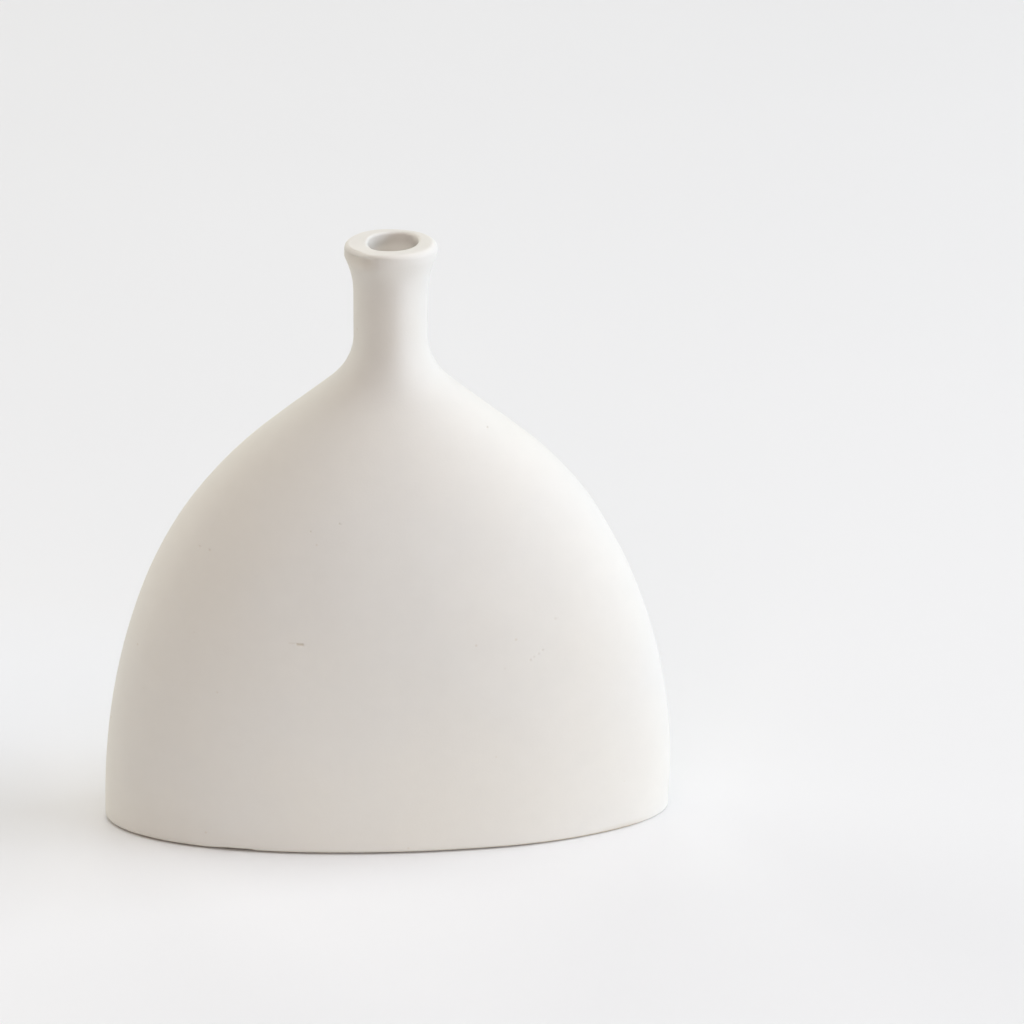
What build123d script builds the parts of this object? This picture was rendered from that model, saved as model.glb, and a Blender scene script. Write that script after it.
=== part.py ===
from build123d import *
import math
import os

# A flattened bottle vase: two press-moulded halves luted on a seam plane, closed by a floor slab below and
# a neck tube and a rolled lip above. Coils pressed into the seams from inside make the joints hold.
# Millimetres, +Z up. The origin is the middle of the foot on the table, with +X right and -Y to the front.

# Body
BODY_WIDTH = 180.0  # from seam to seam, at the widest
BODY_DEPTH = 68.0  # from front to back, at the widest
WALL = 3.2  # clay thickness of both halves and of the neck

# Floor slab
FLOOR_THICKNESS = 5.0
FOOT_ROUNDING = 1.6  # radius of the slab's lower edge
FOOT_RING_WIDTH = 8.0  # flat rim that the vase stands on
HOLLOW_DEPTH = 1.0  # shallow hollow inside that rim
HOLLOW_SIDE = 0.2  # upright part of the hollow's side, below its rounded corner

# Front outline, from the slab up: an upright, a flat arc, a rounder arc, a straight shoulder and a concave
# arc into the neck. A lean is the slope's angle from upright.
FLANK_UPRIGHT = 4.5
FLANK_RADIUS = 197.0
FLANK_LEAN = math.radians(21.0)
SHOULDER_LEAN = math.radians(52.8)
SHOULDER_STRAIGHT = 24.0
SHOULDER_ROOT_RADIUS = 19.0

# Side outline, from the slab up: an upright, one arc inwards and a concave arc into the neck
FACE_UPRIGHT = 60.0
FACE_ROOT_RADIUS = 50.0

# Neck and lip
NECK_RADIUS = 11.45
NECK_STRAIGHT = 16.0
FLARE_RADIUS = 18.0  # concave flare from the neck out to the lip
LIP_OVERHANG = 2.9  # of the lip beyond the neck
LIP_HEIGHT = 4.4
LIP_ROUNDING = 1.4  # radius of the lip's outer upper edge
MOUTH_ROUNDING = 1.0  # radius of its inner upper edge

# Coils inside the body
FLOOR_COIL_SIZE = 4.0  # height and width of the bead around the floor
FLOOR_COIL_EDGE = 0.8  # height left at the bead's inner edge once its corner is rounded
SEAM_COIL_RADIUS = 4.0
SEAM_COIL_INSET = 1.5  # of the coil's middle from the wall

# Heights where the halves are sectioned, closer together near both ends
SECTIONS = 20

BORE_RADIUS = NECK_RADIUS - WALL
LIP_RADIUS = NECK_RADIUS + LIP_OVERHANG


def front_stretches():
    """The front outline's stretches as (signed radius or None, length of a straight, lean at the end)."""
    taken_by_flank = FLANK_RADIUS * (1 - math.cos(FLANK_LEAN))
    taken_by_straight = SHOULDER_STRAIGHT * math.sin(SHOULDER_LEAN)
    taken_by_root = SHOULDER_ROOT_RADIUS * (1 - math.cos(SHOULDER_LEAN))
    left_over = BODY_WIDTH / 2 - NECK_RADIUS - taken_by_flank - taken_by_straight - taken_by_root
    shoulder_radius = left_over / (math.cos(FLANK_LEAN) - math.cos(SHOULDER_LEAN))
    return [
        (FLANK_RADIUS, 0, FLANK_LEAN),
        (shoulder_radius, 0, SHOULDER_LEAN),
        (None, SHOULDER_STRAIGHT, SHOULDER_LEAN),
        (-SHOULDER_ROOT_RADIUS, 0, 0),
    ]


def rise(stretches):
    """Height that a chain of stretches climbs."""
    climbed, lean = 0, 0
    for radius, length, lean_end in stretches:
        if radius is None:
            climbed += length * math.cos(lean)
        else:
            climbed += radius * (math.sin(lean_end) - math.sin(lean))
        lean = lean_end
    return climbed


NECK_FOOT = FLOOR_THICKNESS + FLANK_UPRIGHT + rise(front_stretches())


def side_stretches():
    """The side outline's two arcs, which climb to the neck's foot and come in to its radius."""
    inward = BODY_DEPTH / 2 - NECK_RADIUS
    upward = NECK_FOOT - FLOOR_THICKNESS - FACE_UPRIGHT
    lean = 2 * math.atan(inward / upward)
    both_radii = upward / math.sin(lean)
    return [(both_radii - FACE_ROOT_RADIUS, 0, lean), (-FACE_ROOT_RADIUS, 0, 0)]


def half_size(height, half_at_foot, upright, stretches, inset):
    """An outline's half-width at a height, drawn inset from the outer skin."""
    across = half_at_foot - inset
    level = FLOOR_THICKNESS + upright
    lean = 0
    if height <= level:
        return across
    for radius, length, lean_end in stretches:
        if radius is None:
            climb = length * math.cos(lean)
            if height <= level + climb:
                return across - (height - level) * math.tan(lean)
            across -= length * math.sin(lean)
        else:
            bend = radius - inset
            climb = bend * (math.sin(lean_end) - math.sin(lean))
            if height <= level + climb:
                lean_here = math.asin(math.sin(lean) + (height - level) / bend)
                return across - bend * (math.cos(lean) - math.cos(lean_here))
            across -= bend * (math.cos(lean) - math.cos(lean_end))
        level += climb
        lean = lean_end
    return across


def oval(height, inset):
    """The body's section at a height, as an oval face."""
    half_width = half_size(height, BODY_WIDTH / 2, FLANK_UPRIGHT, front_stretches(), inset)
    half_depth = half_size(height, BODY_DEPTH / 2, FACE_UPRIGHT, side_stretches(), inset)
    return Pos(0, 0, height) * Ellipse(half_width, half_depth)


def body_form(inset):
    """The solid form of the body above the floor slab, inset from the outer skin."""
    lean_start = FLOOR_THICKNESS + FLANK_UPRIGHT
    shares = [(1 - math.cos(math.pi * step / SECTIONS)) / 2 for step in range(SECTIONS + 1)]
    ovals = [oval(lean_start + share * (NECK_FOOT - lean_start), inset) for share in shares]
    upright = extrude(oval(FLOOR_THICKNESS, inset), FLANK_UPRIGHT, dir=(0, 0, 1))
    return upright + loft(ovals)


def spun(outline):
    """A ring turned about the vase's axis from lines drawn as (radius, height)."""
    return revolve(Plane.XZ * make_face(outline), Axis.Z)


# Floor slab, with a rounded lower edge and a shallow hollow inside its foot ring
slab = extrude(Ellipse(BODY_WIDTH / 2, BODY_DEPTH / 2), FLOOR_THICKNESS)
slab = fillet(slab.edges().group_by(Axis.Z)[0], FOOT_ROUNDING)
hollow_inset = FOOT_ROUNDING + FOOT_RING_WIDTH
hollow = extrude(Ellipse(BODY_WIDTH / 2 - hollow_inset, BODY_DEPTH / 2 - hollow_inset), HOLLOW_DEPTH)
hollow = fillet(hollow.edges().group_by(Axis.Z)[-1], HOLLOW_DEPTH - HOLLOW_SIDE)
base_slab = slab - hollow

# Two halves of the body, which meet on the plane through both narrow sides
cavity = body_form(WALL)
body = body_form(0) - cavity
front_shell = split(body, Plane.XZ, keep=Keep.TOP)
back_shell = split(body, Plane.XZ, keep=Keep.BOTTOM)

# The neck flares out to the lip's radius
flare_start = NECK_FOOT + NECK_STRAIGHT
flare_turn = math.acos(1 - LIP_OVERHANG / FLARE_RADIUS)
lip_foot = flare_start + FLARE_RADIUS * math.sin(flare_turn)
neck_tube = spun(
    [
        Polyline(
            (LIP_RADIUS, lip_foot),
            (BORE_RADIUS, lip_foot),
            (BORE_RADIUS, NECK_FOOT),
            (NECK_RADIUS, NECK_FOOT),
            (NECK_RADIUS, flare_start),
        ),
        JernArc((NECK_RADIUS, flare_start), (0, 1), FLARE_RADIUS, -math.degrees(flare_turn)),
    ]
)

# The lip is a coil pressed flat on top, with both of its upper edges rounded
lip_top = lip_foot + LIP_HEIGHT
lip_sides = Polyline(
    (BORE_RADIUS, lip_top - MOUTH_ROUNDING),
    (BORE_RADIUS, lip_foot),
    (LIP_RADIUS, lip_foot),
    (LIP_RADIUS, lip_top - LIP_ROUNDING),
)
lip_edge = JernArc(lip_sides @ 1, (0, 1), LIP_ROUNDING, 90)
lip_flat = Line(lip_edge @ 1, (BORE_RADIUS + MOUTH_ROUNDING, lip_top))
mouth_edge = JernArc(lip_flat @ 1, (-1, 0), MOUTH_ROUNDING, 90)
lip_coil = spun([lip_sides, lip_edge, lip_flat, mouth_edge])

# Bead around the floor, in the corner under the halves' inner wall
bead_outer = extrude(oval(FLOOR_THICKNESS, WALL), FLOOR_COIL_SIZE, dir=(0, 0, 1))
bead_inner = extrude(oval(FLOOR_THICKNESS, WALL + FLOOR_COIL_SIZE), FLOOR_COIL_SIZE, dir=(0, 0, 1))
bead = bead_outer - bead_inner
bead_corner = bead.edges().group_by(Axis.Z)[-1].sort_by(SortBy.LENGTH)[0]
floor_coil = fillet(bead_corner, FLOOR_COIL_SIZE - FLOOR_COIL_EDGE) & cavity

# Coils along both side seams, from the floor to the end of the straight shoulder
seam_inset = WALL + SEAM_COIL_INSET
seam_start = Vector(BODY_WIDTH / 2 - seam_inset, FLOOR_THICKNESS)
seam_lines = [Line(seam_start, seam_start + Vector(0, FLANK_UPRIGHT))]
seam_lean = 0
for radius, length, lean_end in front_stretches()[:-1]:
    heading = Vector(-math.sin(seam_lean), math.cos(seam_lean))
    if radius is None:
        seam_lines.append(Line(seam_lines[-1] @ 1, seam_lines[-1] @ 1 + heading * length))
    else:
        turn = math.degrees(lean_end - seam_lean)
        seam_lines.append(JernArc(seam_lines[-1] @ 1, heading, radius - seam_inset, turn))
    seam_lean = lean_end
seam_path = Plane.XZ * Wire(seam_lines)
seam_rope = sweep(Plane(seam_path @ 0, z_dir=seam_path % 0) * Circle(SEAM_COIL_RADIUS), path=seam_path)
right_seam_coil = (seam_rope & cavity) - floor_coil
left_seam_coil = mirror(right_seam_coil, about=Plane.YZ)

os.makedirs("parts", exist_ok=True)
pieces = {
    "base_slab": base_slab,
    "front_shell": front_shell,
    "back_shell": back_shell,
    "neck_tube": neck_tube,
    "lip_coil": lip_coil,
    "floor_coil": floor_coil,
    "left_seam_coil": left_seam_coil,
    "right_seam_coil": right_seam_coil,
}
for node, shape in pieces.items():
    export_step(shape, f"parts/{node}.step")
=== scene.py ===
import math

import bpy
import numpy as np
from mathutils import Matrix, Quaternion, Vector


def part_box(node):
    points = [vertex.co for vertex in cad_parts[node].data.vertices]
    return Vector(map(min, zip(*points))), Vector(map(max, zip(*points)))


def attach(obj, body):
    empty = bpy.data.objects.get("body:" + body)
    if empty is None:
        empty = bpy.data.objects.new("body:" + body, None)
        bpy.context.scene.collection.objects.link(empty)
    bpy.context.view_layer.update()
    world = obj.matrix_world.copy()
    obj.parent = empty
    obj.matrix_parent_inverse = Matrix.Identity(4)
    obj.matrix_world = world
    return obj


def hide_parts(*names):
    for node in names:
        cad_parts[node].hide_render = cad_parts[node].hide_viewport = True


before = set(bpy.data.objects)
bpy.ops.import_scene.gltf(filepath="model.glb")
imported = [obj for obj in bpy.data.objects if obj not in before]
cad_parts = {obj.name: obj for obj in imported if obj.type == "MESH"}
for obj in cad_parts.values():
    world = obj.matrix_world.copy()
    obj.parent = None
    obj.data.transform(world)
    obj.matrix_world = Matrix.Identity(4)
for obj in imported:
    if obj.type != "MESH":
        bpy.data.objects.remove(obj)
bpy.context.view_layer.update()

# Lengths below are in millimetres unless a comment says otherwise, in the same frame as the solids.
# +Z is up, +X is to the right and -Y is to the front. A level is a height above the table.
MM = 0.001
TINY = 1e-9  # keeps a length of nothing out of a division


def node_box(node):
    """Lowest and highest corner of a solid, in millimetres."""
    low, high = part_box(node)
    return np.array(low) / MM, np.array(high) / MM


slab_box = node_box("base_slab")
neck_box = node_box("neck_tube")
lip_box = node_box("lip_coil")

# Main sizes, read from the solids
HALF_WIDTH = slab_box[1][0]
HALF_DEPTH = slab_box[1][1]
FLOOR_LEVEL = slab_box[1][2]
NECK_FOOT = neck_box[0][2]
LIP_JOINT = lip_box[0][2]
LIP_RADIUS = lip_box[1][0]
LIP_TOP = lip_box[1][2]

# Sizes that no box shows
WALL = 3.2
NECK_RADIUS = 11.45
FLARE_RADIUS = 18.0
FOOT_ROUNDING = 1.6
FOOT_RING_WIDTH = 8.0
HOLLOW_DEPTH = 1.0
HOLLOW_ROUNDING = 0.8
BORE_RADIUS = NECK_RADIUS - WALL

# Front outline: upright, flat arc, rounder arc, straight shoulder, concave arc into the neck
FLANK_UPRIGHT = 4.5
FLANK_RADIUS = 197.0
FLANK_LEAN = math.radians(21.0)
SHOULDER_LEAN = math.radians(52.8)
SHOULDER_STRAIGHT = 24.0
SHOULDER_ROOT_RADIUS = 19.0

# Side outline: upright, one arc inwards, concave arc into the neck
FACE_UPRIGHT = 60.0
FACE_ROOT_RADIUS = 50.0


def front_stretches():
    """The front outline's stretches as (signed radius or None, length of a straight, lean at the end)."""
    taken_by_flank = FLANK_RADIUS * (1 - math.cos(FLANK_LEAN))
    taken_by_straight = SHOULDER_STRAIGHT * math.sin(SHOULDER_LEAN)
    taken_by_root = SHOULDER_ROOT_RADIUS * (1 - math.cos(SHOULDER_LEAN))
    left_over = HALF_WIDTH - NECK_RADIUS - taken_by_flank - taken_by_straight - taken_by_root
    shoulder_radius = left_over / (math.cos(FLANK_LEAN) - math.cos(SHOULDER_LEAN))
    return [
        (FLANK_RADIUS, 0, FLANK_LEAN),
        (shoulder_radius, 0, SHOULDER_LEAN),
        (None, SHOULDER_STRAIGHT, SHOULDER_LEAN),
        (-SHOULDER_ROOT_RADIUS, 0, 0),
    ]


def side_stretches():
    """The side outline's two arcs, which climb to the neck's foot and come in to its radius."""
    inward = HALF_DEPTH - NECK_RADIUS
    upward = NECK_FOOT - FLOOR_LEVEL - FACE_UPRIGHT
    lean = 2 * math.atan(inward / upward)
    both_radii = upward / math.sin(lean)
    return [(both_radii - FACE_ROOT_RADIUS, 0, lean), (-FACE_ROOT_RADIUS, 0, 0)]


def half_size(height, half_at_foot, upright, stretches, inset):
    """An outline's half-width at a height, drawn inset from the outer skin."""
    across = half_at_foot - inset
    level = FLOOR_LEVEL + upright
    lean = 0
    if height <= level:
        return across
    for radius, length, lean_end in stretches:
        if radius is None:
            climb = length * math.cos(lean)
            if height <= level + climb:
                return across - (height - level) * math.tan(lean)
            across -= length * math.sin(lean)
        else:
            bend = radius - inset
            climb = bend * (math.sin(lean_end) - math.sin(lean))
            if height <= level + climb:
                lean_here = math.asin(math.sin(lean) + (height - level) / bend)
                return across - bend * (math.cos(lean) - math.cos(lean_here))
            across -= bend * (math.cos(lean) - math.cos(lean_end))
        level += climb
        lean = lean_end
    return across


def body_halves(height, inset):
    """Half-width and half-depth of the body's oval section at a height."""
    half_width = half_size(height, HALF_WIDTH, FLANK_UPRIGHT, front_stretches(), inset)
    half_depth = half_size(height, HALF_DEPTH, FACE_UPRIGHT, side_stretches(), inset)
    return half_width, half_depth


# Small marks in the front face, as (x, height, radius, depth)
PITS = [
    (-59.7, 98.0, 0.55, 0.10),
    (-56.7, 97.6, 0.55, 0.14),
    (-17.0, 109.2, 0.50, 0.11),
    (-25.9, 106.5, 0.50, 0.10),
    (30.3, 133.7, 0.55, 0.14),
    (50.1, 75.6, 0.65, 0.06),
    (34.0, 61.3, 0.60, 0.05),
    (46.0, 66.1, 0.65, 0.09),
    (44.7, 65.0, 0.60, 0.07),
    (43.2, 64.2, 0.60, 0.06),
    (42.2, 63.3, 0.65, 0.08),
]

# A short level nick in the front face, from x to x at a height, with a fainter scratch to its left
NICK = (-30.2, -28.7, 71.2)
NICK_RADIUS = 0.65
NICK_DEPTH = 0.22
SCRATCH = (-32.8, -30.2, 71.5)
SCRATCH_RADIUS = 0.40
SCRATCH_DEPTH = 0.07

# Grid of the skin: rows around the vase and columns along it, closer together at the marks
ROW_STEP = 1.5
COLUMNS = 360
FINE_STEP = 0.16
FINE_REACH = 0.7  # to both sides of a mark
SAME_SHARE = 0.25  # of a fine step: values that lie closer together become one

# Rows of the smaller stretches
QUARTER = np.linspace(0, math.pi / 2, 9)  # turns of a rounded edge
CEILING_SHARES = (0, 0.2, 0.4, 0.6, 0.8, 0.95)  # of the flat part of the hollow under the slab
RING_ROWS = 17
SLAB_SIDE_ROWS = 4
NECK_ROWS = 40
LIP_SIDE_ROWS = 13
LIP_EDGE_ROWS = 9
LIP_TOP_ROWS = 11
MOUTH_ROWS = 4
FLOOR_SHARES = (1, 0.75, 0.5, 0.25, 0)  # of the floor inside the body


def mark_angle(x, height):
    """Angle on the oval, in radians, of a mark in the front face."""
    return 2 * math.pi - math.acos(x / body_halves(height, 0)[0])


def with_fine_steps(coarse, spans, step):
    """The coarse values, refined inside each (start, end) span."""
    kept = [value for value in coarse if not any(start < value < end for start, end in spans)]
    fine = [np.linspace(start, end, int(round((end - start) / step)) + 1) for start, end in spans]
    values = np.unique(np.concatenate([kept] + fine))
    return values[np.append(True, np.diff(values) > SAME_SHARE * step)]


def merged(spans):
    """Spans with overlapping ones joined."""
    joined = []
    for start, end in sorted(spans):
        if joined and start <= joined[-1][1]:
            joined[-1][1] = max(joined[-1][1], end)
        else:
            joined.append([start, end])
    return joined


row_spans = []
column_spans = []
fine_turn = FINE_REACH / HALF_WIDTH
mark_lines = [(x, x, height) for x, height, _, _ in PITS] + [NICK, SCRATCH]
for line_start, line_end, line_height in mark_lines:
    row_spans.append((line_height - FINE_REACH, line_height + FINE_REACH))
    start_turn = mark_angle(line_start, line_height) - fine_turn
    column_spans.append((start_turn, mark_angle(line_end, line_height) + fine_turn))

angles = np.linspace(0, 2 * math.pi, COLUMNS + 1)[:-1]
angles = with_fine_steps(angles, merged(column_spans), FINE_STEP / HALF_WIDTH)
seam_column = int(np.argmin(np.abs(angles - math.pi)))
COS = np.cos(angles)
SIN = np.sin(angles)
DEGREES = np.degrees(angles)


def ring(half_width, half_depth, height):
    """One row of the skin, an oval around the axis."""
    flat_height = np.broadcast_to(height, COS.shape)
    return np.stack([half_width * COS, half_depth * SIN, flat_height], axis=-1)


def round_ring(radius, height):
    """One row of the neck or the lip."""
    return ring(radius, radius, height)


def inset_ring(inset, height):
    """One row of the floor slab, inset from its widest outline."""
    return ring(HALF_WIDTH - inset, HALF_DEPTH - inset, height)


def every_other(heights):
    """Every other height from the top down, and always the lowest."""
    return np.append(heights[:0:-2], heights[0])


def smooth_step(value, start, end):
    """0 before start, 1 after end and an S-curve between them."""
    share = np.clip((value - start) / (end - start), 0, 1)
    return share * share * (3 - 2 * share)


def bump(value, middle, reach):
    """A bell of height 1 around a middle."""
    return np.exp(-(((value - middle) / reach) ** 2))


def around(direction, reach):
    """A bell of height 1 around a direction, in degrees."""
    away = (DEGREES - direction + 180) % 360 - 180
    return bump(away, 0, reach)


# Rows under the slab, from the middle of its hollow out to the side of the slab
FOOT_LIFT = 0.3  # of the foot ring's outer edge above the table
FOOT_SEATED = (0.25, 0.85)  # cosines between which that edge comes down, on the right
SEATED_ROUNDING = 0.5  # of the foot's edge there, as a share
FOOT_CONTACT = 0.4  # share of the ring's width, from inside, that touches the table
seated = smooth_step(COS, *FOOT_SEATED)
foot_lift = FOOT_LIFT * (1 - seated)
foot_rounding = FOOT_ROUNDING * (1 - (1 - SEATED_ROUNDING) * seated)
side_foot = foot_lift + foot_rounding
hollow_inset = FOOT_ROUNDING + FOOT_RING_WIDTH
ceiling_inset = hollow_inset + HOLLOW_ROUNDING
underside = []
for share in CEILING_SHARES:
    half_width = share * (HALF_WIDTH - ceiling_inset)
    half_depth = share * (HALF_DEPTH - ceiling_inset)
    underside.append(ring(half_width, half_depth, HOLLOW_DEPTH))
for turn in QUARTER:
    drop = HOLLOW_ROUNDING * (1 - math.cos(turn))
    underside.append(inset_ring(hollow_inset + HOLLOW_ROUNDING * (1 - math.sin(turn)), HOLLOW_DEPTH - drop))
for share in np.linspace(0, 1, RING_ROWS):
    lift = foot_lift * smooth_step(share, FOOT_CONTACT, 1)
    underside.append(inset_ring(hollow_inset - share * (hollow_inset - foot_rounding), lift))
for turn in QUARTER[1:]:
    climb = foot_lift + foot_rounding * (1 - math.cos(turn))
    underside.append(inset_ring(foot_rounding * (1 - math.sin(turn)), climb))
for share in np.linspace(0, 1, SLAB_SIDE_ROWS)[1:]:
    underside.append(inset_ring(0, side_foot + share * (FLOOR_LEVEL - side_foot)))

# Rows of the body, outside and inside
row_count = int((NECK_FOOT - FLOOR_LEVEL) / ROW_STEP)
heights = np.linspace(FLOOR_LEVEL, NECK_FOOT, row_count + 1)
fine_heights = with_fine_steps(heights, merged(row_spans), FINE_STEP)
body_outside = [ring(*body_halves(height, 0), height) for height in fine_heights]
body_inside = [ring(*body_halves(height, WALL), height) for height in every_other(heights)]

# The lip is a coil pressed flat by hand: crisp at its left, rolled over at its right, with an uneven mouth.
# Its parts are (direction, reach) in degrees: 0 is the right, 90 the back, 180 the left and 270 the front.
CREASE = (200, 26)  # where the lip's side is steep up to a crisp edge
FILL = (218, 42)  # where clay was pushed into the mouth
ROLL = (20, 40)  # where the lip's edges are rolled over
LOW_LEFT = (190, 65)  # where its top is lower
FLAT_LEFT = (190, 50)  # where its rim is flatter
DENT = (213, 22)  # where its rim is dented
SOFT_BACK = (140, 35)  # where its edge is softer
RIGHT_SIDE = (-0.5, 0.5)  # cosines between which its left goes over into its right

# Top and rim of the lip
TOP_DROP = 0.5  # of its middle below the top of the plain lip
TOP_TILT = 0.2  # rise of its front, and drop of its back
TOP_LEAN = 0.25  # rise of its right, and drop of its left
LEFT_DROP = 0.5  # of its left side, besides
TOP_WAVE = 0.12  # height of three waves around it
TOP_WAVE_TURN = 0.6  # radians
RIM_WAVE = 0.08  # depth of two waves around the rim
RIM_WAVE_TURN = 1.0  # radians
FLAT_DEPTH = 0.15
DENT_DEPTH = 0.8

# Mouth
MOUTH_RADIUS = 8.75
MOUTH_SHIFT = (0.6, 0.7)  # of the mouth's middle to the right and to the back
MOUTH_STRETCH = 0.9  # of the mouth from front to back
MOUTH_SKEW = 0.4  # of its longer axis towards the back right
MOUTH_FILL = 1.5  # clay pushed into the mouth at its front left
MOUTH_FADE = (178.0, 188.0)  # levels between which the bore goes over to the mouth's form
MOUTH_ROUNDING = 0.9  # radius of its upper edge
FILL_WIDTH = 1.2  # more width of that edge at the fill
FILL_DROP = 0.6  # more height of it there

# Outer edge of the lip
EDGE_ROUNDING = 0.8  # its radius; the next four are added in their parts
RIGHT_ROUNDING = 1.0
CREASE_ROUNDING = 1.4
BACK_ROUNDING = 0.5
ROLL_ROUNDING = 0.8
CREASE_CUT = 0.45  # share of the edge's quarter turn that the crease leaves out
CHIN_BLEND = 0.12  # how softly the neck's flare runs into the lip's side, on the left
CHIN_SOFTER = 0.45  # more of that on the right
CHIN_DROP = 0.5  # of the flare, on the left

rightness = smooth_step(COS, *RIGHT_SIDE)
creased = around(*CREASE)
filled = around(*FILL)
lip_top = LIP_TOP - TOP_DROP - TOP_TILT * SIN + TOP_LEAN * COS
lip_top += TOP_WAVE * np.sin(3 * angles + TOP_WAVE_TURN)
lip_top -= LEFT_DROP * around(*LOW_LEFT)
rim = LIP_RADIUS + RIM_WAVE * np.sin(2 * angles + RIM_WAVE_TURN)
rim -= FLAT_DEPTH * around(*FLAT_LEFT)
rim -= DENT_DEPTH * around(*DENT)
mouth = MOUTH_RADIUS + MOUTH_SHIFT[0] * COS + MOUTH_SHIFT[1] * SIN
mouth += MOUTH_SKEW * np.sin(2 * angles) - MOUTH_STRETCH * np.cos(2 * angles)
mouth -= MOUTH_FILL * filled
mouth_rounding = MOUTH_ROUNDING + FILL_WIDTH * filled
mouth_drop = MOUTH_ROUNDING + FILL_DROP * filled
rim_rounding = EDGE_ROUNDING + RIGHT_ROUNDING * rightness + CREASE_ROUNDING * creased
rim_rounding += BACK_ROUNDING * around(*SOFT_BACK)
rim_rounding += ROLL_ROUNDING * around(*ROLL)
rim_turn = math.pi / 2 * (1 - CREASE_CUT * creased)
chin_blend = CHIN_BLEND + CHIN_SOFTER * rightness
chin_drop = CHIN_DROP * (1 - rightness)

# A thumb pressed the lip in from below at its front left
PRESS_DEPTH = 0.9
PRESS_SHADE = 0.22  # painted shade in the pressed hollow under the lip
PRESS_START = (172, 204)  # directions between which it begins
PRESS_END = (233, 253)  # directions between which it ends
PRESS_EDGE = (1.9, 0.4)  # depths below the lip's top between which it ends upwards
PRESS_FOOT = (7.0, 2.3)  # depths below the lip's top between which it begins, from below
PRESS_CRISP = 0.3  # less rounding of the edge above it
press_share = smooth_step(DEGREES, *PRESS_START) * (1 - smooth_step(DEGREES, *PRESS_END))
rim_rounding -= PRESS_CRISP * press_share


def step_below_top(height, lower, upper):
    """0 under a lower depth below the lip's top, 1 over an upper one and an S-curve between them."""
    return smooth_step(height, lip_top - lower, lip_top - upper)


def pressed(height):
    """How far the thumb pressed in at a height, from 0 to 1."""
    below_edge = 1 - step_below_top(height, *PRESS_EDGE)
    return press_share * below_edge * step_below_top(height, *PRESS_FOOT)


overhang = LIP_RADIUS - NECK_RADIUS
flare_start = LIP_JOINT - math.sqrt(FLARE_RADIUS**2 - (FLARE_RADIUS - overhang) ** 2)


def outer_radius(height):
    """Outer radius of the neck and the lip at a height, around the axis."""
    flare_height = np.maximum(height + chin_drop - flare_start, 0)
    flare = NECK_RADIUS + FLARE_RADIUS - np.sqrt(FLARE_RADIUS**2 - flare_height**2)
    blended = -chin_blend * np.logaddexp(-flare / chin_blend, -rim / chin_blend)
    return blended - PRESS_DEPTH * pressed(height)


def bore_radius(height):
    """Inner radius of the neck: round and centred below, following the mouth above."""
    return BORE_RADIUS + (mouth - BORE_RADIUS) * smooth_step(height, *MOUTH_FADE)


# Rows of the neck, then of the lip up its side, over its top and down its mouth
neck_heights = np.linspace(NECK_FOOT, LIP_JOINT, NECK_ROWS)
neck_outside = [round_ring(outer_radius(height), height) for height in neck_heights]
neck_inside = [round_ring(bore_radius(height), height) for height in every_other(neck_heights)]

side_top = lip_top - rim_rounding * np.sin(rim_turn)
side_top_radius = outer_radius(side_top)
flat_start = side_top_radius - rim_rounding * (1 - np.cos(rim_turn))
flat_end = mouth + mouth_rounding
mouth_bottom = lip_top - mouth_drop
lip_rows = []
for share in np.linspace(0, 1, LIP_SIDE_ROWS):
    height = LIP_JOINT + share * (side_top - LIP_JOINT)
    lip_rows.append(round_ring(outer_radius(height), height))
for share in np.linspace(0, 1, LIP_EDGE_ROWS)[1:]:
    turn = share * rim_turn
    radius = side_top_radius - rim_rounding * (1 - np.cos(turn))
    lip_rows.append(round_ring(radius, side_top + rim_rounding * np.sin(turn)))
for share in np.linspace(0, 1, LIP_TOP_ROWS)[1:]:
    lip_rows.append(round_ring(flat_start + share * (flat_end - flat_start), lip_top))
for turn in QUARTER[1:]:
    radius = flat_end - mouth_rounding * math.sin(turn)
    lip_rows.append(round_ring(radius, lip_top - mouth_drop * (1 - math.cos(turn))))
for share in np.linspace(0, 1, MOUTH_ROWS)[1:]:
    height = mouth_bottom + share * (LIP_JOINT - mouth_bottom)
    lip_rows.append(round_ring(bore_radius(height), height))

# Rows of the floor inside the body
floor_half_width, floor_half_depth = body_halves(FLOOR_LEVEL, WALL)
floor_inside = []
for share in FLOOR_SHARES:
    floor_inside.append(ring(share * floor_half_width, share * floor_half_depth, FLOOR_LEVEL))

# The whole skin as one grid of points, outside up, over the lip and inside down
zones = {}
skin_rows = []
for zone, rows in (
    ("underside", underside),
    ("body_outside", body_outside[1:]),
    ("neck_outside", neck_outside[1:]),
    ("lip", lip_rows[1:]),
    ("neck_inside", neck_inside[1:]),
    ("body_inside", body_inside[1:]),
    ("floor_inside", floor_inside[1:]),
):
    zones[zone] = (len(skin_rows), len(skin_rows) + len(rows) - 1)
    skin_rows.extend(rows)
skin = np.array(skin_rows)
even_skin = skin.copy()


def along(points, axis):
    """Unit tangents of the grid along an axis, right for uneven steps too."""
    before = np.roll(points, 1, axis)
    after = np.roll(points, -1, axis)
    back = points - before
    forth = after - points
    if axis == 0:
        back[0] = forth[0]
        forth[-1] = back[-1]
    back_length = np.linalg.norm(back, axis=-1, keepdims=True) + TINY
    forth_length = np.linalg.norm(forth, axis=-1, keepdims=True) + TINY
    tangent = back / back_length * forth_length + forth / forth_length * back_length
    return tangent / (np.linalg.norm(tangent, axis=-1, keepdims=True) + TINY)


def normals_of(points):
    """Normals of the grid that point out of the clay."""
    normals = np.cross(along(points, 1), along(points, 0))
    normals[0] = (0, 0, -1)
    normals[-1] = (0, 0, 1)
    return normals / (np.linalg.norm(normals, axis=-1, keepdims=True) + TINY)


WAVES = 24
WAVE_LENGTHS = (0.8, 1.4)  # shortest and longest, times the wavelength asked for


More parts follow.
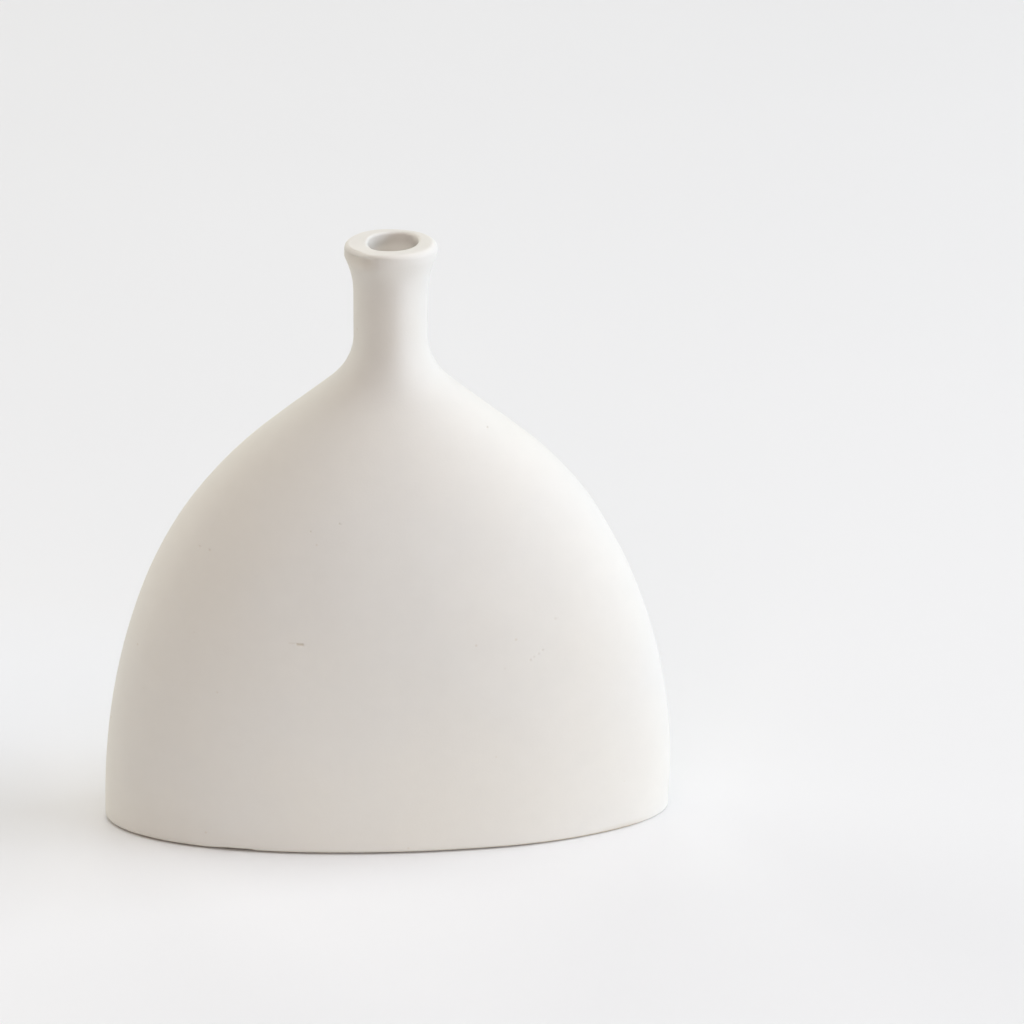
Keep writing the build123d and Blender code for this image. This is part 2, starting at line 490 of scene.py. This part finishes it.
def hand_waves(points, wavelength, seed):
    """A smooth uneven field of about unit size: plane waves in many directions, added up."""
    draws = np.random.default_rng(seed)
    directions = draws.normal(size=(WAVES, 3))
    directions /= np.linalg.norm(directions, axis=1, keepdims=True)
    lengths = wavelength * draws.uniform(*WAVE_LENGTHS, WAVES)
    phases = draws.uniform(0, 2 * math.pi, WAVES)
    turns = points @ (2 * math.pi * directions / lengths[:, None]).T + phases
    return np.cos(turns).sum(axis=-1) / math.sqrt(WAVES / 2)


# The hand-made unevenness of the outer skin
outside = slice(0, zones["lip"][1] + 1)
shell = skin[outside]
level = shell[..., 2]
left_side = np.clip(-COS, 0, 1)
right_side = np.clip(COS, 0, 1)

# The outline sways: shoulders a little to the left, neck a little to the right, right flank fuller below.
# A shift is (size, level where it begins, level where it is whole) and a swell is (size, level, reach).
SWAY_SHIFT = (0.29, 146, 158)
SWAY_SWELL = (-0.4, 137, 9)
LEFT_SHIFT = (-0.15, 10, 30)
LEFT_SWELLS = [(0.15, 6, 8), (-0.1, 86, 9), (-0.15, 136, 10)]
RIGHT_SHIFT = (0.6, 2, 25)
RIGHT_SHIFT_END = (40, 90)  # levels between which it goes back to nothing
RIGHT_SWELLS = [(0.25, 150, 5), (-0.5, 94, 9), (-0.4, 129, 7)]
NECK_SHIFT = (0.11, 150, 165)
NECK_SWELL = (0.3, 182, 5)


def shift(size, start, end):
    """A shift of the outline above a level."""
    return size * smooth_step(level, start, end)


def swell(size, middle, reach):
    """A swelling of the outline around a level."""
    return size * bump(level, middle, reach)


sway = shift(*SWAY_SHIFT) + swell(*SWAY_SWELL)
fuller_left = shift(*LEFT_SHIFT) + sum(swell(*place) for place in LEFT_SWELLS)
fuller_right = shift(*RIGHT_SHIFT) * (1 - smooth_step(level, *RIGHT_SHIFT_END))
fuller_right += sum(swell(*place) for place in RIGHT_SWELLS)
thicker_neck = shift(*NECK_SHIFT) + swell(*NECK_SWELL)
shell[..., 0] += sway + right_side * fuller_right - left_side * fuller_left + COS * thicker_neck
shell[..., 1] += SIN * thicker_neck

# A soft upright ridge runs down the neck's front, where the clay was drawn up
RIDGE_HEIGHT = 0.4
RIDGE_PLACE = (278, 22)  # direction and reach
RIDGE_FOOT = (125, 150)  # levels between which it begins
RIDGE_END = (178, 186)  # levels between which it ends
ridge = RIDGE_HEIGHT * around(*RIDGE_PLACE) * smooth_step(level, *RIDGE_FOOT)
ridge = ridge * (1 - smooth_step(level, *RIDGE_END))
shell[..., 0] += COS * ridge
shell[..., 1] += SIN * ridge

# The oval is a little fuller near the foot, but tighter at its right end
CORNER_FULLNESS = 0.6
CORNER_END = (20, 90)  # levels between which it ends
RIGHT_TIGHTER = 2.3  # as a share of that fullness
RIGHT_END = (0.3, 0.95)  # cosines between which the oval tightens
fuller_corners = CORNER_FULLNESS * np.sin(2 * angles) ** 2 * (1 - smooth_step(level, *CORNER_END))
fuller_corners = fuller_corners * (1 - RIGHT_TIGHTER * smooth_step(COS, *RIGHT_END))
shell[..., 1] += np.sign(SIN) * fuller_corners

# A flake is missing from the foot's front edge, left of the middle
CHIP_HEIGHT = 0.35
CHIP_START = (-58.0, -52.0)  # x where the chip begins, softly
CHIP_END = (-44.7, -44.1)  # x where it ends in a step
CHIP_TOP = (0.5, 2.4)  # levels between which it ends upwards
CHIP_DEPTH = (0.86, 0.93)  # shares of the way out to the foot's edge between which it begins
even_x, even_y, even_level = np.moveaxis(even_skin[outside], -1, 0)
chip = smooth_step(even_x, *CHIP_START) * (1 - smooth_step(even_x, *CHIP_END))
chip = chip * (1 - smooth_step(even_level, *CHIP_TOP)) * (even_y < 0)
chip = chip * smooth_step(np.hypot(even_x / HALF_WIDTH, even_y / HALF_DEPTH), *CHIP_DEPTH)
shell[..., 2] += CHIP_HEIGHT * chip

# Slow waves run over the skin, none of them at the table and weaker ones on the lip
HAND_WAVES = [(0.05, 70, 3), (0.03, 22, 4)]  # as (size, wavelength, seed)
WAVES_START = (0.5, 8)  # levels between which they begin
WAVES_WEAKER = (170, 180)  # levels between which they become weaker
LIP_WAVES = 0.3  # share of them on the lip
skin_normals = normals_of(skin)
off_table = smooth_step(even_level, *WAVES_START)
below_lip = 1 - smooth_step(even_level, *WAVES_WEAKER)
moved = sum(size * hand_waves(shell, wavelength, seed) for size, wavelength, seed in HAND_WAVES)
moved = moved * off_table * (LIP_WAVES + (1 - LIP_WAVES) * below_lip)


def dimple(away):
    """Depth of a mark, as a share, where its edge is 1 away."""
    return np.where(away < 1, (1 - away**2) ** 2, 0)


marks = np.zeros(moved.shape)
for x, height, radius, depth in PITS:
    half_depth = body_halves(height, 0)[1]
    spot = np.array([x, half_depth * math.sin(mark_angle(x, height)), height])
    away = np.linalg.norm(even_skin[outside] - spot, axis=-1) / radius
    marks += depth * dimple(away)
for line, radius, depth in ((NICK, NICK_RADIUS, NICK_DEPTH), (SCRATCH, SCRATCH_RADIUS, SCRATCH_DEPTH)):
    line_start, line_end, line_height = line
    nearest = np.clip(even_x, line_start, line_end)
    away = np.hypot(even_x - nearest, even_level - line_height) / radius
    marks += depth * dimple(away) * (even_y < 0)

skin[outside] += skin_normals[outside] * (moved - marks)[..., None]
skin_normals = normals_of(skin)

# Painted shading of the clay's colour: 0 inside, where painted light makes the clay lighter, a plain value
# outside, and 1 where painted shade darkens the marks and the foot's lower edge
OUTSIDE_SHADING = 0.25
MARK_SHADE_DEPTH = 0.32  # of a mark that is fully darkened by painted shade
FOOT_SHADE_START = (0.02, 0.2)  # levels between which the painted contact shade along the foot's lower edge begins
FOOT_SHADE_END = (0.3, 1.1)  # levels between which it ends
FOOT_SHADE_FADE = (0.82, 0.95)  # cosines between which it ends, on the right, where the light reaches in
MOUTH_LEFT_SHADE = 0.3  # painted shading of the mouth's left; its right gets the full painted light of the inside
TOP_PAINTED_LIGHT = 0.11  # painted light that makes the lip's top lighter
TOP_LIGHT_DEPTHS = (0.8, 0.1)  # below the lip's top, between which that painted light begins
TOP_LIGHT_PLACE = (205, 70)  # direction and reach of where it is strongest
TOP_LIGHT_AROUND = 0.35  # share of that in all other directions
painted_shading = np.zeros(skin.shape[:2])
# Painted contact shade along the foot's lower edge, fading out on the lit right
foot_contact_shade = (1 - smooth_step(even_level, *FOOT_SHADE_END)) * smooth_step(even_level, *FOOT_SHADE_START)
foot_contact_shade = foot_contact_shade * (1 - smooth_step(COS, *FOOT_SHADE_FADE))
# Painted shade in the marks and along the foot's lower edge
painted_shading[outside] = OUTSIDE_SHADING + (1 - OUTSIDE_SHADING) * np.clip(marks / MARK_SHADE_DEPTH + foot_contact_shade, 0, 1)
# Painted shade in the hollow pressed under the lip
painted_shading[outside] += PRESS_SHADE * pressed(even_level)
# Painted light makes the lip's top lighter, most at its left
top_light_share = TOP_LIGHT_AROUND + (1 - TOP_LIGHT_AROUND) * around(*TOP_LIGHT_PLACE)
painted_shading[outside] -= TOP_PAINTED_LIGHT * step_below_top(even_level, *TOP_LIGHT_DEPTHS) * top_light_share

# The mouth's own painted shading comes in over its rounded edge
mouth_shares = np.append(np.linspace(0, 1, len(QUARTER))[1:], np.ones(MOUTH_ROWS - 1))[:, None]
mouth_rows = slice(zones["lip"][1] + 1 - len(mouth_shares), zones["lip"][1] + 1)
painted_shading[mouth_rows] += mouth_shares * (MOUTH_LEFT_SHADE * (1 - rightness) - painted_shading[mouth_rows])


def cut_piece(name, row_loop, column_loop, ends_open):
    """A closed mesh cut from the skin. Rows that aren't neighbours there are bridged by joint faces."""
    wraps = len(column_loop) == len(angles)
    poles = {0, len(skin) - 1}
    numbers = {}
    points = []
    point_shading = []

    def number(row, column):
        """Number in this mesh of a point of the skin, which is added when it is first asked for."""
        key = (row, 0 if row in poles else column)
        if key not in numbers:
            numbers[key] = len(points)
            points.append(skin[row, key[1]] * MM)
            point_shading.append(painted_shading[row, key[1]])
        return numbers[key]

    faces = []
    corner_normals = []
    row_pairs = list(zip(row_loop, row_loop[1:]))
    if not ends_open:
        row_pairs.append((row_loop[-1], row_loop[0]))
    column_pairs = list(zip(column_loop, column_loop[1:]))
    if wraps:
        column_pairs.append((column_loop[-1], column_loop[0]))
    for low, high in row_pairs:
        on_skin = abs(high - low) == 1
        for near, far in column_pairs:
            corners = [(low, near), (low, far), (high, far), (high, near)]
            if low in poles:
                corners = [(low, near), (high, far), (high, near)]
            elif high in poles:
                corners = [(low, near), (low, far), (high, near)]
            faces.append([number(row, column) for row, column in corners])
            if on_skin:
                corner_normals.extend(skin_normals[row, column] for row, column in corners)
            else:
                places = [skin[row, column] for row, column in corners]
                flat = np.cross(places[1] - places[0], places[2] - places[0])
                flat /= np.linalg.norm(flat)
                corner_normals.extend([flat] * len(corners))

    # A half is closed by two flat faces on the seam plane, which look towards the other half
    if not wraps:
        middle_column = column_loop[len(column_loop) // 2]
        towards_back = 1 if skin[row_loop[1], middle_column, 1] < 0 else -1
        for column, order in ((column_loop[0], 1), (column_loop[-1], -1)):
            faces.append([number(row, column) for row in row_loop[::order]])
            corner_normals.extend([(0, towards_back, 0)] * len(row_loop))

    mesh = bpy.data.meshes.new(name)
    mesh.from_pydata([tuple(point) for point in points], [], faces)
    mesh.shade_smooth()
    mesh.normals_split_custom_set([tuple(normal) for normal in corner_normals])
    mesh.attributes.new("painted_shading", "FLOAT", "POINT").data.foreach_set("value", point_shading)
    piece = bpy.data.objects.new(name, mesh)
    bpy.context.scene.collection.objects.link(piece)
    return piece


def rows_between(first, last):
    """Row numbers from first to last, both included."""
    return list(range(first, last + 1))


slab_top = zones["underside"][1]
neck_foot_outside = zones["body_outside"][1]
lip_foot_outside = zones["neck_outside"][1]
lip_foot_inside = zones["lip"][1]
neck_foot_inside = zones["neck_inside"][1]
floor_edge_inside = zones["body_inside"][1]
last_row = len(skin) - 1
all_columns = list(range(len(angles)))
front_columns = all_columns[seam_column:] + [0]
back_columns = all_columns[: seam_column + 1]

slab_rows = rows_between(0, slab_top) + rows_between(floor_edge_inside, last_row)
shell_rows = rows_between(slab_top, neck_foot_outside) + rows_between(neck_foot_inside, floor_edge_inside)
neck_rows = rows_between(neck_foot_outside, lip_foot_outside)
neck_rows += rows_between(lip_foot_inside, neck_foot_inside)
coil_rows = rows_between(lip_foot_outside, lip_foot_inside)

pieces = {
    "base_slab": cut_piece("clay_base", slab_rows, all_columns, True),
    "front_shell": cut_piece("clay_front", shell_rows, front_columns, False),
    "back_shell": cut_piece("clay_back", shell_rows, back_columns, False),
    "neck_tube": cut_piece("clay_neck", neck_rows, all_columns, False),
    "lip_coil": cut_piece("clay_lip", coil_rows, all_columns, False),
}


# Materials
PLAIN = (1.0, 1.0, 1.0)  # a tone that changes nothing
SPECULAR = 0.1  # of the clay and the floor, both matte


def new_material(name):
    """An empty node material with a matte Principled shader, as (material, nodes, links, shader)."""
    material = bpy.data.materials.new(name)
    material.use_nodes = True
    tree = material.node_tree
    shader = tree.nodes["Principled BSDF"]
    shader.inputs["Specular IOR Level"].default_value = SPECULAR
    return material, tree.nodes, tree.links, shader


def add_noise(nodes, links, place, scale, detail):
    """A noise value at a place socket."""
    noise = nodes.new("ShaderNodeTexNoise")
    noise.inputs["Scale"].default_value = scale
    noise.inputs["Detail"].default_value = detail
    links.new(place, noise.inputs["Vector"])
    return noise.outputs["Fac"]


def add_ramp(nodes, links, source, stops):
    """A colour picked by a value socket from (position, colour) stops."""
    ramp = nodes.new("ShaderNodeValToRGB")
    elements = ramp.color_ramp.elements
    while len(elements) < len(stops):
        elements.new(stops[1][0])
    for element, (position, colour) in zip(elements, stops):
        element.position = position
        element.color = (*colour, 1)
    links.new(source, ramp.inputs["Fac"])
    return ramp.outputs["Color"]


def add_relief(nodes, links, height, strength, distance):
    """A bump node over a height socket."""
    relief = nodes.new("ShaderNodeBump")
    relief.inputs["Strength"].default_value = strength
    relief.inputs["Distance"].default_value = distance
    links.new(height, relief.inputs["Height"])
    return relief


def new_mix(nodes):
    """An empty mix of two colours."""
    mix = nodes.new("ShaderNodeMix")
    mix.data_type = "RGBA"
    return mix


def multiplied(nodes, links, first, second):
    """Two colour sockets multiplied."""
    product = new_mix(nodes)
    product.blend_type = "MULTIPLY"
    product.inputs["Factor"].default_value = 1
    links.new(first, product.inputs["A"])
    links.new(second, product.inputs["B"])
    return product.outputs["Result"]


CLAY = (0.774, 0.757, 0.693)
PAINTED_INSIDE_LIGHT = (1.15, 1.14, 1.15)  # painted light that makes the clay inside lighter, times that colour
# Colour of the painted shade in the marks, along the foot and in the hollow under the lip
PAINTED_SHADE_TONE = (0.72, 0.65, 0.55)


def tinted(share, warmth):
    """The clay's colour, lighter or darker by a share, and warmer or cooler."""
    red, green, blue = (channel * (1 + share) for channel in CLAY)
    return red * (1 + warmth / 2), green, blue * (1 - warmth)


# Looks of the clay: noises as (scale, detail), stops as (position, colour), reliefs as (strength, metres)
PATCH_NOISE = (14, 3)
PATCH_STOPS = [(0.35, tinted(-0.008, -0.008)), (0.65, tinted(0.008, 0.012))]
MOTTLE_NOISE = (180, 5)
MOTTLE_STOPS = [(0.3, (0.985, 0.985, 0.985)), (0.7, PLAIN)]
SPECK_SCALE = 90
SPECK_STOPS = [(0.02, (0.93, 0.90, 0.86)), (0.05, PLAIN)]
PAINTED_SHADING_STOPS = [(0.0, PAINTED_INSIDE_LIGHT), (OUTSIDE_SHADING, PLAIN), (1.0, PAINTED_SHADE_TONE)]
FINISH_NOISE = (60, 3)
FINISH_SMOOTHEST = 0.84
FINISH_ROUGHEST = 0.96
STREAK_STRETCH = (40, 40, 420)
STREAK_NOISE = (1, 3)
STREAK_RELIEF = (0.04, 0.0004)
GRAIN_NOISE = (1400, 5)
GRAIN_RELIEF = (0.12, 0.0002)


def make_clay():
    """Matte unglazed clay: mottled, with specks, painted shade in the recesses, painted light inside and on
    the lip's top, wiped streaks and a fine grain.
    """
    material, nodes, links, shader = new_material("bisque_clay")
    place = nodes.new("ShaderNodeTexCoord").outputs["Object"]

    # Colour: broad warm and cool patches, finer mottling, faint brown specks, and painted shade and painted
    # light from the skin's shading values
    patches = add_noise(nodes, links, place, *PATCH_NOISE)
    mottle = add_noise(nodes, links, place, *MOTTLE_NOISE)
    specks = nodes.new("ShaderNodeTexVoronoi")
    specks.inputs["Scale"].default_value = SPECK_SCALE
    links.new(place, specks.inputs["Vector"])
    shading_values = nodes.new("ShaderNodeAttribute")
    shading_values.attribute_name = "painted_shading"
    colour = add_ramp(nodes, links, patches, PATCH_STOPS)
    for source, stops in (
        (mottle, MOTTLE_STOPS),
        (specks.outputs["Distance"], SPECK_STOPS),
        (shading_values.outputs["Fac"], PAINTED_SHADING_STOPS),
    ):
        colour = multiplied(nodes, links, colour, add_ramp(nodes, links, source, stops))
    links.new(colour, shader.inputs["Base Color"])

    # Finish: chalky, a little smoother where it was wiped
    finish = add_noise(nodes, links, place, *FINISH_NOISE)
    rough = nodes.new("ShaderNodeMapRange")
    rough.inputs["To Min"].default_value = FINISH_SMOOTHEST
    rough.inputs["To Max"].default_value = FINISH_ROUGHEST
    links.new(finish, rough.inputs["Value"])
    links.new(rough.outputs["Result"], shader.inputs["Roughness"])

    # Relief: level wiping streaks under a fine grain
    stretch = nodes.new("ShaderNodeMapping")
    stretch.inputs["Scale"].default_value = STREAK_STRETCH
    links.new(place, stretch.inputs["Vector"])
    streaks = add_noise(nodes, links, stretch.outputs["Vector"], *STREAK_NOISE)
    streak_relief = add_relief(nodes, links, streaks, *STREAK_RELIEF)
    grain = add_noise(nodes, links, place, *GRAIN_NOISE)
    grain_relief = add_relief(nodes, links, grain, *GRAIN_RELIEF)
    links.new(streak_relief.outputs["Normal"], grain_relief.inputs["Normal"])
    links.new(grain_relief.outputs["Normal"], shader.inputs["Normal"])
    return material


clay = make_clay()
for node, piece in pieces.items():
    piece.data.materials.append(clay)
    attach(piece, "root")
    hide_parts(node)
for node in ("floor_coil", "left_seam_coil", "right_seam_coil"):
    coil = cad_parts[node]
    coil.data.materials.clear()
    coil.data.materials.append(clay)


# Floor, with distances from the vase's middle in metres
FLOOR_RADIUS = 3
FLOOR_SIDES = 96
FLOOR_ROUGHNESS = 0.95
FLOOR_TONE = (0.845, 0.85, 0.842)
FLOOR_FAR_TONE = (0.5, 0.5, 0.5)  # far away, for bounced light only
PAPER_END = 0.30  # where the pale floor's bounce begins to fade
PAPER_FADED = 0.80
FAR_SHADE_END = 1.0  # where the painted shade on the floor that the camera sees is darkest
FAR_SHADE_TONE = (0.96, 0.96, 0.96)
SHADOW_LIGHT_PLACE = (-0.15, 0.07, 0)  # the middle of painted light, cooler and lighter, in the vase's shadow at the back left
SHADOW_LIGHT_REACH = 0.12
SHADOW_LIGHT_TONE = (1.02, 1.04, 1.07)
CLOUD_NOISE = (3, 2)  # scale and detail
CLOUD_RANGE = (0.3, 0.7)
CLOUD_TONE = 0.005  # darker or lighter than the floor's tone


def seen_directly(nodes, links):
    """A socket that is 1 for what the camera sees, in a mirror or through glass too, else 0."""
    paths = nodes.new("ShaderNodeLightPath")
    either = paths.outputs["Is Camera Ray"]
    for other in ("Is Glossy Ray", "Is Transmission Ray"):
        both = nodes.new("ShaderNodeMath")
        both.operation = "MAXIMUM"
        links.new(either, both.inputs[0])
        links.new(paths.outputs[other], both.inputs[1])
        either = both.outputs["Value"]
    return either


def distance_from(nodes, links, place, middle):
    """A socket with a place socket's distance from a middle."""
    distance = nodes.new("ShaderNodeVectorMath")
    distance.operation = "DISTANCE"
    links.new(place, distance.inputs[0])
    distance.inputs[1].default_value = middle
    return distance.outputs["Value"]


def make_floor():
    """A wide floor: pale to the camera, with painted shade far off and painted light in the vase's shadow,
    and a sheet of pale paper to bounced light.
    """
    material, nodes, links, shader = new_material("pale_floor")
    shader.inputs["Roughness"].default_value = FLOOR_ROUGHNESS
    place = nodes.new("ShaderNodeTexCoord").outputs["Object"]

    # What the camera sees: a faint cloud, painted shade far away and painted cool light in the vase's
    # shadow at the back left
    darker = tuple(channel - CLOUD_TONE for channel in FLOOR_TONE)
    lighter = tuple(channel + CLOUD_TONE for channel in FLOOR_TONE)
    cloud_stops = list(zip(CLOUD_RANGE, (darker, lighter)))
    seen = add_ramp(nodes, links, add_noise(nodes, links, place, *CLOUD_NOISE), cloud_stops)
    from_vase = distance_from(nodes, links, place, (0, 0, 0))
    # Painted shade: the floor that the camera sees grows darker away from the vase
    far_shade = add_ramp(nodes, links, from_vase, [(PAPER_END, PLAIN), (FAR_SHADE_END, FAR_SHADE_TONE)])
    seen = multiplied(nodes, links, seen, far_shade)
    # Painted light, cooler and lighter, in the vase's shadow at the back left
    from_shadow_light = distance_from(nodes, links, place, SHADOW_LIGHT_PLACE)
    shadow_light = add_ramp(nodes, links, from_shadow_light, [(0.0, SHADOW_LIGHT_TONE), (SHADOW_LIGHT_REACH, PLAIN)])
    seen = multiplied(nodes, links, seen, shadow_light)

    # What bounced light sees: the paper, which ends not far from the vase
    bounced = add_ramp(nodes, links, from_vase, [(PAPER_END, FLOOR_TONE), (PAPER_FADED, FLOOR_FAR_TONE)])
    pick = new_mix(nodes)
    links.new(seen_directly(nodes, links), pick.inputs["Factor"])
    links.new(bounced, pick.inputs["A"])
    links.new(seen, pick.inputs["B"])
    links.new(pick.outputs["Result"], shader.inputs["Base Color"])

    bpy.ops.mesh.primitive_circle_add(vertices=FLOOR_SIDES, radius=FLOOR_RADIUS, fill_type="NGON")
    floor = bpy.context.object
    floor.name = "stage_floor"
    floor.data.materials.append(material)


make_floor()


# Light
LAMP_DISTANCE = 4.0  # metres from the vase
LAMP_AIM = Vector((0, 0, 0.09))  # metres
WINDOW_TINT = (0.805, 0.866, 1.0)
FILL_TINT = (1.0, 0.833, 0.813)
ROOM_TINT = (1.0, 0.98, 0.945)

# Lamps as (name, plan angle, elevation, width, height, power, tint), in degrees, metres and watts. A plan
# angle runs from the front to the right.
LAMPS = [
    ("key_low", 68, 11, 2.4, 1.1, 65.6, WINDOW_TINT),
    ("key_middle", 75, 22, 2.0, 1.6, 26.6, WINDOW_TINT),
    ("key_high", 95, 30, 2.0, 2.0, 56.6, WINDOW_TINT),
    ("fill_front", -5, 22, 3.0, 3.0, 35.9, FILL_TINT),
    ("fill_wide", -40, 40, 6.0, 4.0, 14.6, FILL_TINT),
    ("rim", -125, 8, 2.6, 0.9, 65.8, ROOM_TINT),
    ("back", 180, 12, 2.0, 1.2, 34.7, ROOM_TINT),
    ("top", 0, 89, 3.0, 3.0, 60.9, ROOM_TINT),
]


def add_lamp(name, plan_angle, elevation, width, height, power, tint):
    """A soft rectangular lamp, aimed at the vase."""
    lamp = bpy.data.lights.new(name, "AREA")
    lamp.shape = "RECTANGLE"
    lamp.size = width
    lamp.size_y = height
    lamp.energy = power
    lamp.color = tint
    holder = bpy.data.objects.new(name, lamp)
    turn = math.radians(plan_angle)
    climb = math.radians(elevation)
    offset = Vector((math.sin(turn) * math.cos(climb), -math.cos(turn) * math.cos(climb), math.sin(climb)))
    holder.location = LAMP_AIM + offset * LAMP_DISTANCE
    holder.rotation_mode = "QUATERNION"
    holder.rotation_quaternion = offset.to_track_quat("Z", "Y")
    holder.visible_camera = False
    bpy.context.scene.collection.objects.link(holder)


for lamp in LAMPS:
    add_lamp(*lamp)

SKY_COLOUR = (0.573, 0.566, 0.543)
SKY_SHARES = [(0.0, 0.0), (0.5, 0.1), (0.8, 0.5), (1.0, 1.0)]  # of it, by the sine of the elevation


def make_world():
    """Soft light from overhead; the camera sees a plain pale tone."""
    world = bpy.data.worlds.new("studio")
    bpy.context.scene.world = world
    world.use_nodes = True
    nodes = world.node_tree.nodes
    links = world.node_tree.links
    direction = nodes.new("ShaderNodeTexCoord").outputs["Generated"]
    split = nodes.new("ShaderNodeSeparateXYZ")
    links.new(direction, split.inputs["Vector"])
    stops = [(sine, tuple(share * channel for channel in SKY_COLOUR)) for sine, share in SKY_SHARES]
    sky = add_ramp(nodes, links, split.outputs["Z"], stops)
    pick = new_mix(nodes)
    links.new(seen_directly(nodes, links), pick.inputs["Factor"])
    links.new(sky, pick.inputs["A"])
    pick.inputs["B"].default_value = (*FLOOR_TONE, 1)
    links.new(pick.outputs["Result"], nodes["Background"].inputs["Color"])


make_world()
bpy.context.scene.view_settings.view_transform = "Standard"

# Camera at the photograph's viewing angle
CAMERA_PLACE = (-93.1, -1481.2, 688.1)
CAMERA_HEADING = math.radians(5.082)
CAMERA_PITCH = math.radians(21.534)
CAMERA_ROLL = math.radians(0.696)
CAMERA_LENS = 179.4
CAMERA_SENSOR = 36

camera_data = bpy.data.cameras.new("camera")
camera_data.lens = CAMERA_LENS
camera_data.sensor_width = CAMERA_SENSOR
camera = bpy.data.objects.new("camera", camera_data)
bpy.context.scene.collection.objects.link(camera)
bpy.context.scene.camera = camera
camera.location = Vector(CAMERA_PLACE) * MM
look = Vector(
    (
        math.sin(CAMERA_HEADING) * math.cos(CAMERA_PITCH),
        math.cos(CAMERA_HEADING) * math.cos(CAMERA_PITCH),
        -math.sin(CAMERA_PITCH),
    )
)
camera.rotation_mode = "QUATERNION"
camera.rotation_quaternion = look.to_track_quat("-Z", "Y") @ Quaternion((0, 0, 1), CAMERA_ROLL)
